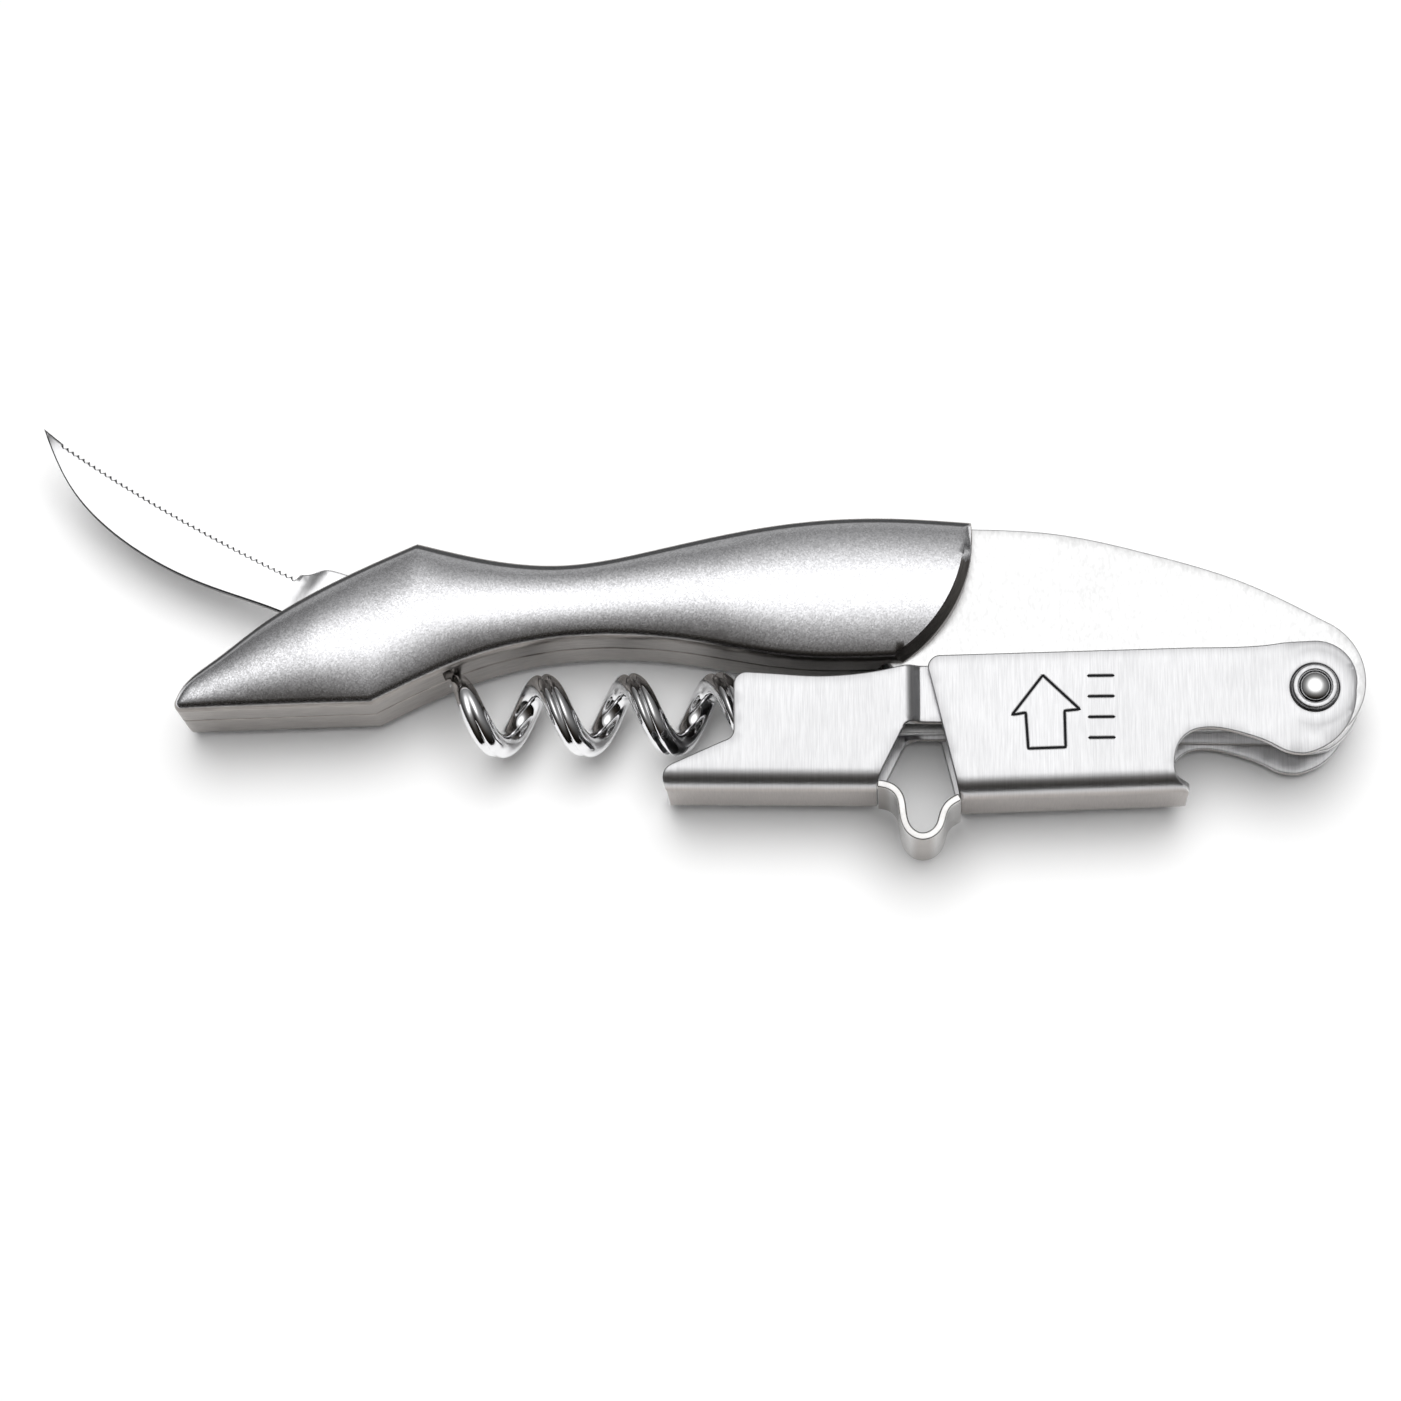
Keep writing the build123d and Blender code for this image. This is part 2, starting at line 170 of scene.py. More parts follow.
def pattern(loop, holes=(), rings=(), spacing=1.2, extra=()):
    """Triangulates an outline with holes.

    Returns the points, the triangles and each point's distance to the edge. The rings are distances
    from the edge at which rows of points follow it, and extra holds further points.
    """
    loops = [loop] + [h[::-1] for h in holes]
    inner = []
    for d in rings:
        for a in loops:
            q = drawn_in(a, d)
            inner.append(q[edge_distance(q, loops) > d * 0.93])
    lo, hi = loop.min(0), loop.max(0)
    gx, gy = np.meshgrid(np.arange(lo[0], hi[0], spacing), np.arange(lo[1], hi[1], spacing * 0.87))
    gx = gx + (np.arange(gx.shape[0]) % 2)[:, None] * spacing / 2
    grid = np.stack([gx.ravel(), gy.ravel()], 1)
    clear = (max(rings) if len(rings) else 0) + spacing * 0.45
    grid = grid[edge_distance(grid, loops) > clear]
    if len(extra):
        extra = np.array(extra, float)
        near = np.array([np.min(np.linalg.norm(extra - g, axis=1)) for g in grid])
        grid = grid[near > spacing * 0.35]
        inner.append(extra[edge_distance(extra, loops) > 0.02])
    inner.append(grid)
    points, edges = [], []
    for a in loops:
        first = len(points)
        points += [Vector(q) for q in a]
        edges += [(first + i, first + (i + 1) % len(a)) for i in range(len(a))]
    for q in np.concatenate(inner):
        points.append(Vector(q))
    made = delaunay_2d_cdt(points, edges, [], 0, 1e-5)
    p = np.array([tuple(v) for v in made[0]])
    tris = np.array([f for f in made[2] if len(f) == 3])
    middle = p[tris].mean(1)
    keep = inside(middle, loop)
    for h in holes:
        keep &= ~inside(middle, h)
    tris = tris[keep]
    used = np.unique(tris)
    number = np.full(len(p), -1)
    number[used] = np.arange(len(used))
    p, tris = p[used], number[tris]
    a, b, c = p[tris[:, 0]], p[tris[:, 1]], p[tris[:, 2]]
    turn = (b[:, 0] - a[:, 0]) * (c[:, 1] - a[:, 1]) - (b[:, 1] - a[:, 1]) * (c[:, 0] - a[:, 0])
    tris[turn < 0] = tris[turn < 0][:, ::-1]
    return p, tris, edge_distance(p, loops)


def rim_edges(tris):
    """Directed edges that only one triangle has."""
    seen = {(int(t[i]), int(t[(i + 1) % 3])) for t in tris for i in range(3)}
    return [(a, b) for a, b in seen if (b, a) not in seen]


def rounded(d, r):
    """How far a surface with edges rounded to r has dropped, d in from the edge."""
    q = np.clip(r - d, 0, r)
    return r - np.sqrt(np.maximum(r * r - q * q, 0))


def round_rings(r):
    """Distances from the edge that follow a rounding of radius r."""
    return [r * (1 - math.cos(math.radians(a))) for a in (28, 55, 90)]


# ---------------------------------------------------------------- meshes
def make_object(name, points_mm, faces, body, material, sharp=38, groove=None):
    """Makes the piece and puts it on its body; edges sharper than the given angle stay sharp."""
    mesh = bpy.data.meshes.new(name)
    world = np.array(points_mm, float) * MM + np.array(PIVOT)
    mesh.from_pydata([tuple(v) for v in world], [], [tuple(int(i) for i in f) for f in faces])
    if groove is not None:
        layer = mesh.attributes.new("ink_and_shade", "FLOAT", "POINT")
        layer.data.foreach_set("value", np.array(groove, np.float32))
    bm = bmesh.new()
    bm.from_mesh(mesh)
    bmesh.ops.recalc_face_normals(bm, faces=bm.faces)
    for f in bm.faces:
        f.smooth = True
    for e in bm.edges:
        if len(e.link_faces) == 2 and e.calc_face_angle() > math.radians(sharp):
            e.smooth = False
    bm.to_mesh(mesh)
    bm.free()
    mesh.materials.append(material)
    piece = bpy.data.objects.new(name, mesh)
    bpy.context.scene.collection.objects.link(piece)
    if body is not None:
        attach(piece, body)
    return piece


def sheet_faces(tris, count):
    """Top, underside and rim of a sheet whose underside points follow its count top points."""
    faces = [tuple(t) for t in tris] + [tuple(t[::-1] + count) for t in tris]
    faces += [(b, a, a + count, b + count) for a, b in rim_edges(tris)]
    return faces


GROOVE_HALF = 0.14
GROOVE_DEPTH = 0.07


def groove_rows(groove):
    """Rows of points along an engraved line and on both sides of it, and one past each open end."""
    along = np.gradient(groove, axis=0)
    along /= np.linalg.norm(along, axis=1)[:, None] + 1e-9
    side = np.stack([-along[:, 1], along[:, 0]], 1)
    rows = [groove + side * w * GROOVE_HALF for w in (-2.0, -1.1, -0.5, 0, 0.5, 1.1, 2.0)]
    if np.linalg.norm(groove[0] - groove[-1]) >= 0.5:
        past = GROOVE_HALF * 1.1
        rows.append(np.array([groove[0] - along[0] * past, groove[-1] + along[-1] * past]))
    return np.concatenate(rows)


def bent_sheet(name, loop, holes, place, half, edge_r, body, material, spacing=1.2,
               extra=(), grooves=(), dish=None):
    """A sheet of metal: its flat pattern is mapped by place(points) to positions and normals.

    half is half the thickness or a function of the pattern's points, edge_r rounds the edges, and
    dish(positions) is how far the sheet is pressed down there.
    """
    extra = [np.array(extra, float).reshape(-1, 2)] + [groove_rows(g) for g in grooves]
    extra = np.concatenate(extra)
    p, tris, d = pattern(loop, holes, round_rings(edge_r), spacing, extra)
    at, normal = place(p)
    thick = half(p) if callable(half) else np.full(len(p), half)
    at = at - normal * (dish(at) if dish else np.zeros(len(p)))[:, None]
    drop = rounded(d, edge_r)
    cut = np.zeros(len(p))
    for g in grooves:
        far = np.array([np.min(np.linalg.norm(g - q, axis=1)) for q in p])
        cut = np.maximum(cut, np.clip(1 - (far / GROOVE_HALF) ** 2, 0, 1))
    top = at + normal * (thick - drop - cut * GROOVE_DEPTH)[:, None]
    low = at - normal * (thick - drop)[:, None]
    faces = sheet_faces(tris, len(p))
    mark = np.concatenate([cut, np.zeros(len(p))])
    return make_object(name, np.concatenate([top, low]), faces, body, material, groove=mark)


def turned(name, profile, at, body, material, count=64):
    """A solid turned about Z from a profile of (radius, z).

    The profile starts and ends on the axis, or closes on itself.
    """
    t = 2 * math.pi * np.arange(count) / count
    points, faces, rows = [], [], []
    on_axis = profile[0][0] == 0
    for r, z in profile:
        if r == 0:
            rows.append([len(points)])
            points.append((at[0], at[1], z))
        else:
            rows.append(list(range(len(points), len(points) + count)))
            points += [(at[0] + r * math.cos(a), at[1] + r * math.sin(a), z) for a in t]
    pairs = list(zip(rows, rows[1:])) + ([] if on_axis else [(rows[-1], rows[0])])
    for low, high in pairs:
        for i in range(count):
            j = (i + 1) % count
            if len(low) == 1:
                faces.append((low[0], high[j], high[i]))
            elif len(high) == 1:
                faces.append((low[i], low[j], high[0]))
            else:
                faces.append((low[i], low[j], high[j], high[i]))
    return make_object(name, points, faces, body, material)


# ---------------------------------------------------------------- materials
def node_tree(name):
    """A new material with its node tree and shader node."""
    mat = bpy.data.materials.new(name)
    mat.use_nodes = True
    tree = mat.node_tree
    return mat, tree, tree.nodes["Principled BSDF"]


def add(tree, kind, inputs=(), **props):
    """Adds a node; an input that is a socket is linked, and any other is set."""
    node = tree.nodes.new(kind)
    for key, value in props.items():
        setattr(node, key, value)
    for key, value in dict(inputs).items():
        if isinstance(value, bpy.types.NodeSocket):
            tree.links.new(value, node.inputs[key])
        else:
            node.inputs[key].default_value = value
    return node


def stretched(tree, scale, detail=3.0, seed=0.0):
    """Noise over the object's own coordinates, stretched by an unequal scale."""
    where = add(tree, "ShaderNodeTexCoord").outputs["Object"]
    moved = {"Vector": where, "Scale": scale, "Location": (seed, seed, seed)}
    mapped = add(tree, "ShaderNodeMapping", moved)
    noise = {"Vector": mapped.outputs[0], "Scale": 1.0, "Detail": detail, "Roughness": 0.6}
    return add(tree, "ShaderNodeTexNoise", noise).outputs["Fac"]


def ramp(tree, fac, low, high, at=(0.3, 0.7)):
    """Colour that goes from low to high as the factor goes from the first position to the second."""
    node = add(tree, "ShaderNodeValToRGB", {"Fac": fac})
    for stop, place_at, value in zip(node.color_ramp.elements, at, (low, high)):
        stop.position = place_at
        stop.color = (*value, 1) if isinstance(value, tuple) else (value, value, value, 1)
    return node.outputs["Color"]


def mixed(tree, share, first, second, how="MIX"):
    """Two colours put together; the share is the second one's."""
    inputs = {0: share, 6: first, 7: second}
    return add(tree, "ShaderNodeMix", inputs, data_type="RGBA", blend_type=how).outputs[2]


# Span of a face's Y normal over which painted shade on faces turned to +Y sets in.
BACK_AT = (0.45, 0.9)


def painted_facing_shade(tree, colour, underside, under_at, backside, back_at):
    """Painted shade: the colour darkened on faces turned to -Y and to +Y, and how far a face is turned
    to +Y.
    """
    facing = add(tree, "ShaderNodeTexCoord").outputs["Normal"]
    level = add(tree, "ShaderNodeSeparateXYZ", {"Vector": facing}).outputs["Y"]
    # Each tint is painted shade, multiplied in by how far a face is turned that way.
    for (start, full), tint_there in ((under_at, underside), (back_at, backside)):
        if tint_there is None:
            continue
        shade_share = add(tree, "ShaderNodeMapRange", {"Value": level, "From Min": start, "From Max": full})
        shade_share = shade_share.outputs[0]
        tint = mixed(tree, shade_share, (1, 1, 1, 1), (*tint_there, 1))
        colour = mixed(tree, 1.0, colour, tint, "MULTIPLY")
    return colour, shade_share


def brushed(name, colour, dark, rough, grain_scale, bump=0.12, ink_and_shade=False, underside=None,
            under_at=(-0.8, -0.97), backside=(0.3, 0.3, 0.3)):
    """Metal with fine parallel grain and faint broad patches of random tone.

    Faces turned to -Y can have painted shade darkening their colour, and so can those turned to +Y.
    """
    mat, tree, shader = node_tree(name)
    grain = stretched(tree, grain_scale, 4.0)
    fine = stretched(tree, tuple(4 * s for s in grain_scale), 2.0, 3.0)
    cloud = stretched(tree, (120, 120, 120), 3.0, 7.0)
    tone = ramp(tree, grain, dark, colour, (0.36, 0.64))
    patch = ramp(tree, cloud, 0.93, 1.0, (0.3, 0.6))
    result = mixed(tree, 1.0, tone, patch, "MULTIPLY")
    # Painted shade on faces turned to -Y and to +Y.
    result, _ = painted_facing_shade(tree, result, underside, under_at, backside, BACK_AT)
    if ink_and_shade:
        mark = add(tree, "ShaderNodeAttribute", attribute_name="ink_and_shade").outputs["Fac"]
        fade = ramp(tree, mark, 0.0, 1.0, (0.12, 0.45))
        # Near-black ink along the marked lines: the push lever's real marks, and on the blade painted
        # shade.
        result = mixed(tree, fade, result, (0.02, 0.02, 0.022, 1))
    tree.links.new(result, shader.inputs["Base Color"])
    spread = {"Value": fine, "To Min": rough - 0.05, "To Max": rough + 0.07}
    uneven = add(tree, "ShaderNodeMapRange", spread)
    tree.links.new(uneven.outputs[0], shader.inputs["Roughness"])
    relief = add(tree, "ShaderNodeBump", {"Height": grain, "Strength": bump, "Distance": 0.00004})
    tree.links.new(relief.outputs[0], shader.inputs["Normal"])
    shader.inputs["Metallic"].default_value = 1.0
    return mat


def sparkle(name, colour):
    """Metallic lacquer: each small flake is tilted its own way, so some catch the light.

    Painted shade: faces turned to -Y are darkened, and the rim turned to +Y is darkened and made matt
    so that it does not mirror the bright floor.
    """
    mat, tree, shader = node_tree(name)
    where = add(tree, "ShaderNodeTexCoord").outputs["Object"]
    flakes = add(tree, "ShaderNodeTexVoronoi", {"Vector": where, "Scale": 7500.0})
    centred = {0: flakes.outputs["Color"], 1: (-0.5, -0.5, -0.5)}
    tilt = add(tree, "ShaderNodeVectorMath", centred, operation="ADD")
    small = add(tree, "ShaderNodeVectorMath", {0: tilt.outputs[0], "Scale": 0.04}, operation="SCALE")
    normal = add(tree, "ShaderNodeNewGeometry").outputs["Normal"]
    tipped = add(tree, "ShaderNodeVectorMath", {0: normal, 1: small.outputs[0]}, operation="ADD")
    unit = add(tree, "ShaderNodeVectorMath", {0: tipped.outputs[0]}, operation="NORMALIZE")
    tree.links.new(unit.outputs[0], shader.inputs["Normal"])
    glint = add(tree, "ShaderNodeSeparateColor", {"Color": flakes.outputs["Color"]}).outputs[0]
    dim, bright = tuple(c * 0.76 for c in colour), tuple(min(1, c * 1.06) for c in colour)
    tone = ramp(tree, glint, dim, bright, (0.0, 1.0))
    # Painted shade by facing: a warm grey on faces turned to -Y, near black on the rim turned to +Y.
    tone, back_shade = painted_facing_shade(tree, tone, (0.55, 0.53, 0.51), (-0.55, -0.8),
                           (0.08, 0.08, 0.08), (0.34, 0.55))
    tree.links.new(tone, shader.inputs["Base Color"])
    shine = add(tree, "ShaderNodeMath", {0: 1.0, 1: back_shade}, operation="SUBTRACT")
    tree.links.new(shine.outputs[0], shader.inputs["Metallic"])
    shader.inputs["Specular IOR Level"].default_value = 0.0
    shader.inputs["Roughness"].default_value = 0.26
    return mat


def polished(name, colour, rough=0.06):
    """Plated metal, nearly a mirror, with faint rub marks and a slight wave."""
    mat, tree, shader = node_tree(name)
    rub = stretched(tree, (900, 900, 900), 2.0)
    wave = stretched(tree, (300, 300, 300), 2.0, 5.0)
    spread = {"Value": rub, "To Min": rough * 0.6, "To Max": rough * 2.2}
    uneven = add(tree, "ShaderNodeMapRange", spread)
    tree.links.new(uneven.outputs[0], shader.inputs["Roughness"])
    relief = add(tree, "ShaderNodeBump", {"Height": wave, "Strength": 0.15, "Distance": 0.0001})
    tree.links.new(relief.outputs[0], shader.inputs["Normal"])
    tone = ramp(tree, rub, tuple(c * 0.94 for c in colour), colour)
    tree.links.new(tone, shader.inputs["Base Color"])
    shader.inputs["Metallic"].default_value = 1.0
    return mat


STEEL = (0.78, 0.78, 0.79)
STEEL_DARK = (0.67, 0.67, 0.68)
# Painted shade for faces turned to -Y: the warm dark of the shadowed floor they mirror.
UNDERSIDE_SHADE = (0.50, 0.46, 0.43)
LEVER = brushed("lever_brushed", STEEL, STEEL_DARK, 0.33, (9000, 350, 350), ink_and_shade=True,
                underside=UNDERSIDE_SHADE)
PLATE = brushed("plate_brushed", (0.89, 0.89, 0.89), (0.77, 0.77, 0.77), 0.33, (2600, 1300, 500))
# The shell's side wall is bare brushed metal; its dark warm colour is painted shade for the shadowed
# floor it mirrors.
SHADED_WALL = brushed("shell_wall_brushed_shaded", (0.36, 0.335, 0.315), (0.25, 0.232, 0.22), 0.34,
               (500, 500, 5000), 0.2, backside=(0.35, 0.34, 0.33))
# Painted shade on the blade's faces turned to -Y and to +Y, and painted shade in its ink lines.
BLADE = brushed("blade_satin", (0.95, 0.95, 0.96), (0.87, 0.87, 0.88), 0.3, (3500, 700, 700), 0.1,
                ink_and_shade=True, underside=(0.4, 0.385, 0.37), under_at=(-0.4, -0.8),
                backside=(0.1, 0.1, 0.1))
SPRING = brushed("spring_satin", (0.72, 0.71, 0.70), (0.6, 0.59, 0.58), 0.2, (500, 500, 4000),
                 underside=UNDERSIDE_SHADE)
TURNED = brushed("turned_steel", (0.66, 0.66, 0.67), (0.52, 0.52, 0.53), 0.25, (2500, 2500, 2500))
SHELL = sparkle("shell_sparkle", (0.86, 0.86, 0.88))
CHROME = polished("worm_chrome", (0.88, 0.88, 0.89))
RIVET = polished("rivet_polish", (0.9, 0.9, 0.9), 0.08)


# ---------------------------------------------------------------- handle shells
SEAM_Z, SEAM = 0.8, 0.06  # the seam's height and half its gap
SHOULDER_Z, CROWN_Z = 5.4, 7.0
FULL_DOME_HALF = 6.0  # half width at which the dome reaches the crown
ROUND = 0.85
POCKET_Z = 3.33
SHELL_OPEN_X = -43.0
SLOT_FROM_X, SLOT_ABOVE_Y, SLOT_HALF = -106, 6.15, 1.05
END_BEVEL, END_DROP, END_TOP_Y, END_TAPER = 0.85, 1.7, 17.0, 5.5
CATCH_X, CATCH_HALF, CATCH_DEPTH, CATCH_TOP_Z, CATCH_RAMP = -86.4, 0.36, 1.0, 5.6, 0.8
WALL_ROWS = (0.12, 0.3, 0.5, 0.68, 0.82, 0.92, 0.96, 1)  # shares of the side wall's height
SEAM_CHAMFER = 0.24
# Faces steeper than this, the dome's rounded rim among them, take the side wall's dark painted-shade
# colour.
STEEP = 0.55  # faces whose normal is lower than this have the side wall's finish

BACK_LEFT = spline([(-113.8, 0.0), (-113.4, 0.9), (-110.1, 4.0), (-105.5, 7.6), (-97.2, 12.5),
                    (-89.6, 15.95)])
BACK_RIGHT = spline([(-89.6, 15.95), (-82.0, 14.15), (-75.0, 13.55), (-66.0, 14.95), (-54.0, 17.35),
                     (-43.0, 18.05), (-33.8, 17.45)])
SHELL_END = arc((-33.8, 17.45), (-35.4, 9.2), (-40.8, 3.4), 0.3)
BELLY = spline([(-40.8, 3.4), (-52.5, 3.6), (-62.0, 5.2), (-71.5, 5.9), (-82.0, 4.4), (-94.0, -0.7)])
FOOT = joined(line((-94.0, -0.7), (-113.3, -1.2)),
              arc((-113.3, -1.2), (-113.75, -0.85), (-113.8, 0.0), 0.12))
SHELL_LOOP = closed(BACK_LEFT, BACK_RIGHT, SHELL_END, BELLY, FOOT)
HOLLOW_LOOP = closed(
    spline([(-109.9, 0.8), (-104.1, 5.9), (-96.2, 10.9), (-89.9, 14.0)]),
    spline([(-89.9, 14.0), (-82.0, 12.4), (-75.0, 11.8), (-66.0, 13.2), (-54.0, 15.6), (-42.0, 16.2)]),
    line((-42.0, 16.2), (-42.0, 4.8)),
    spline([(-42.0, 4.8), (-52.5, 4.95), (-62.0, 6.25), (-71.5, 6.95), (-82.0, 5.45), (-93.3, 0.8)]),
    line((-93.3, 0.8), (-109.9, 0.8)))


def wall_end_z(p, seam_z):
    """Lower edge of the near shell's side wall: the seam, the blade's slot, or the open end."""
    x, y = p[:, 0], p[:, 1]
    z = np.full(len(p), seam_z)
    slot = (x > SLOT_FROM_X) & (y > SLOT_ABOVE_Y)
    z[slot] = SLOT_HALF
    z[x > SHELL_OPEN_X] = POCKET_Z
    return z


def dome_z(p, d):
    """Height of the domed top at points p, which are d in from the edge."""
    back = np.concatenate([BACK_LEFT, BACK_RIGHT])
    belly = np.concatenate([FOOT[::-1], BELLY[::-1], SHELL_END[::-1]])
    back = back[np.argsort(back[:, 0])]
    belly = belly[np.argsort(belly[:, 0])]
    top = np.interp(p[:, 0], back[:, 0], back[:, 1])
    low_x = np.minimum(p[:, 0], -40.8)
    low = np.interp(low_x, belly[:, 0], belly[:, 1])
    middle, half = (top + low) / 2, np.maximum((top - low) / 2, 0.2)
    t = np.clip(np.abs(p[:, 1] - middle) / half, 0, 1)
    rise = (CROWN_Z - SHOULDER_Z) * np.clip(half / FULL_DOME_HALF, 0, 1) * (1 - t ** 2)
    from_end = np.array([np.min(np.linalg.norm(SHELL_END - q, axis=1)) for q in p])
    taper = smoothstep((END_TOP_Y - p[:, 1]) / END_TAPER)
    bevel = END_DROP * np.clip(1 - from_end / END_BEVEL, 0, 1) * taper
    return SHOULDER_Z + rise - np.maximum(rounded(d, ROUND), bevel)


def shell(name, side):
    """A hollow shell: dome, side wall, underside of the wall, and pocket.

    side is 1 for the near shell and -1 for the far one.
    """
    seam_z = SEAM + side * SEAM_Z
    rings = [ROUND * (1 - math.cos(math.radians(a))) for a in (15, 30, 45, 60, 75, 90)]
    p, tris, d = pattern(SHELL_LOOP, (), rings, 0.8)
    points = [np.column_stack([p, dome_z(p, d)])]
    faces = [tuple(t) for t in tris]
    rim = [a for a, _ in rim_edges(tris)]
    follow = dict(rim_edges(tris))
    loop = [rim[0]]
    while follow[loop[-1]] != loop[0]:
        loop.append(follow[loop[-1]])
    edge = p[loop]
    top_z = points[0][loop, 2]
    low_z = wall_end_z(edge, seam_z)
    catch = np.exp(-((edge[:, 0] - CATCH_X) / CATCH_HALF) ** 4) * (edge[:, 1] < 6) * (side > 0)
    inward = drawn_in(edge, 1.0) - edge
    previous, count = loop, len(p)
    n = len(loop)
    for share in WALL_ROWS:
        z = top_z + (low_z - top_z) * share
        dent = CATCH_DEPTH * catch * smoothstep((CATCH_TOP_Z - z) / CATCH_RAMP)
        chamfer = SEAM_CHAMFER * (share == 1) * (low_z < SLOT_HALF)
        row = edge + inward * (dent + chamfer)[:, None]
        points.append(np.column_stack([row, z]))
        now = list(range(count, count + n))
        faces += [(previous[(i + 1) % n], previous[i], now[i], now[(i + 1) % n]) for i in range(n)]
        previous, count = now, count + n
    outer = points[-1][:, :2]
    # Underside of the wall, then the pocket's roof and walls.
    ring_p, ring_t, _ = pattern(outer, [HOLLOW_LOOP], (), 1.5)
    start = count
    points.append(np.column_stack([ring_p, wall_end_z(ring_p, seam_z)]))
    faces += [tuple(t[::-1] + start) for t in ring_t]
    count += len(ring_p)
    roof_p, roof_t, _ = pattern(HOLLOW_LOOP, (), (), 2.0)
    points.append(np.column_stack([roof_p, np.full(len(roof_p), POCKET_Z)]))
    faces += [tuple(t[::-1] + count) for t in roof_t]
    roof_start = count
    points = np.concatenate(points)
    low = [start + int(np.argmin(np.linalg.norm(ring_p - q, axis=1))) for q in HOLLOW_LOOP]
    high = [roof_start + int(np.argmin(np.linalg.norm(roof_p - q, axis=1))) for q in HOLLOW_LOOP]
    for i in range(len(HOLLOW_LOOP)):
        j = (i + 1) % len(HOLLOW_LOOP)
        faces.append((low[i], low[j], high[j], high[i]))
    points[:, 2] *= side
    piece = make_object(name, points, faces, "handle", SHELL, 50)
    bm = bmesh.new()
    bm.from_mesh(piece.data)
    bmesh.ops.remove_doubles(bm, verts=bm.verts, dist=0.004 * MM)
    bmesh.ops.recalc_face_normals(bm, faces=bm.faces)
    bm.to_mesh(piece.data)
    bm.free()
    # Steep faces and the low end take the side wall's material: bare metal, its colour painted shade.
    piece.data.materials.append(SHADED_WALL)
    for f in piece.data.polygons:
        if abs(f.normal.z) < STEEP or abs(f.center.z - PIVOT.z) / MM < SHOULDER_Z - END_DROP:
            f.material_index = 1
    return piece


for shell_side, half_name in ((1, "near"), (-1, "far")):
    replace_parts(shell(half_name + "_domed_shell", shell_side), half_name + "_shell")


# ---------------------------------------------------------------- liners
RING_R = 2.05
LINER_MID, LINER_HALF = 2.71, 0.61
WORM_LUG_R = 3.0


def liner_loop():
    """Inside the shells, out to the main pivot, and the lug for the worm's pin."""
    lug = circle((WORM_PIVOT.x, WORM_PIVOT.y), WORM_LUG_R, 60)
    lug = lug[lug[:, 0] < -43.0]
    lug = lug[np.argsort(np.arctan2(lug[:, 1] - WORM_PIVOT.y, WORM_PIVOT.x - lug[:, 0]))]
    gap = 0.05
    return closed(
        spline([(-109.9 + gap, 0.8 + gap), (-104.1, 5.9 - gap), (-96.2, 10.9 - gap),
                (-89.9, 14.0 - gap)]),
        spline([(-89.9, 14.0 - gap), (-82.0, 12.4 - gap), (-75.0, 11.8 - gap), (-66.0, 13.2 - gap),
                (-54.0, 15.6 - gap), (-43.2, 16.1 - gap)]),
        line((-43.0, 16.2), (-42.9, 17.4)),
        spline([(-42.8, 17.5), (-34.3, 17.2), (-25.5, 16.6), (-15.9, 14.4), (-6.5, 11.3), (1.5, 7.2)]),
        arc((1.5, 7.2), (5.3, 1.2), (1.8, -4.7)),
        spline([(1.8, -4.7), (-1.0, -5.0), (-5.0, -2.6)]),
        line((-5.0, -2.6), (-42.6, -2.6)),
        lug,
        line((-42.9, 2.0), (-41.0, 2.0)),
        line((-41.0, 2.0), (-42.8, 4.1)),
        line((-42.8, 4.1), (-43.1, 4.85)),
        spline([(-43.2, 4.87), (-52.5, 5.0), (-62.0, 6.3), (-71.5, 7.0), (-82.0, 5.5), (-93.3, 0.85)]),
        line((-93.3, 0.85), (-109.8, 0.85)))


def flat_at(z):
    def place(p):
        up = np.zeros((len(p), 3))
        up[:, 2] = 1 if z > 0 else -1
        return np.column_stack([p, np.full(len(p), float(z))]), up
    return place


for liner_z, half_name in ((LINER_MID, "near"), (-LINER_MID, "far")):
    plate = bent_sheet(half_name + "_body_plate", liner_loop(), [circle((0, 0), RING_R)],
                       flat_at(liner_z), LINER_HALF, 0.12, "handle", PLATE)
    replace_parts(plate, half_name + "_liner")


# ---------------------------------------------------------------- blade
BLADE_ANGLE = math.radians(149)
ALONG = np.array([math.cos(BLADE_ANGLE), math.sin(BLADE_ANGLE)])
TO_SPINE = np.array([-math.sin(BLADE_ANGLE), math.cos(BLADE_ANGLE)])


def on_blade(points):
    """From (distance along the blade, distance towards the spine) to the drawing."""
    q = np.array(points, float)
    return np.array([BLADE_PIVOT.x, BLADE_PIVOT.y]) + q[:, :1] * ALONG + q[:, 1:] * TO_SPINE


def edge_t(s):
    """The toothed edge's distance towards the spine, at s along the blade."""
    return 0.75 - 0.0026 * (s - 27) ** 2


TEETH_FROM, TEETH_TO, TOOTH_PITCH, TOOTH_DEPTH = 12.3, 40.2, 0.68, 0.34
TANG_HALF = 0.66
EDGE_HALF, SPINE_GAIN = 0.36, 0.25  # half thickness by the edge, and what it gains by the spine
PLUNGE_AT, PLUNGE_SLANT, PLUNGE_LENGTH = 9.9, 0.1, 1.2
HONE_FROM, HONE_WIDTH, HONE_LOSS = 0.2, 0.35, 0.4
SPINE = spline([(2.5, 3.4), (11.5, 3.9), (20.0, 5.5), (29.3, 5.8), (37.3, 3.7), (43.1, -0.2)])


def blade_teeth():
    """The toothed edge, from the tip's end to the heel's."""
    teeth = []
    for i in range(int((TEETH_TO - TEETH_FROM) / TOOTH_PITCH), -1, -1):
        s = TEETH_FROM + i * TOOTH_PITCH
        for share, depth in ((0.5, 0.0), (0.22, 0.75), (0.0, 1.0), (-0.22, 0.75)):
            teeth.append((s + share * TOOTH_PITCH, edge_t(s) + TOOTH_DEPTH * (depth - 0.35)))
    return teeth


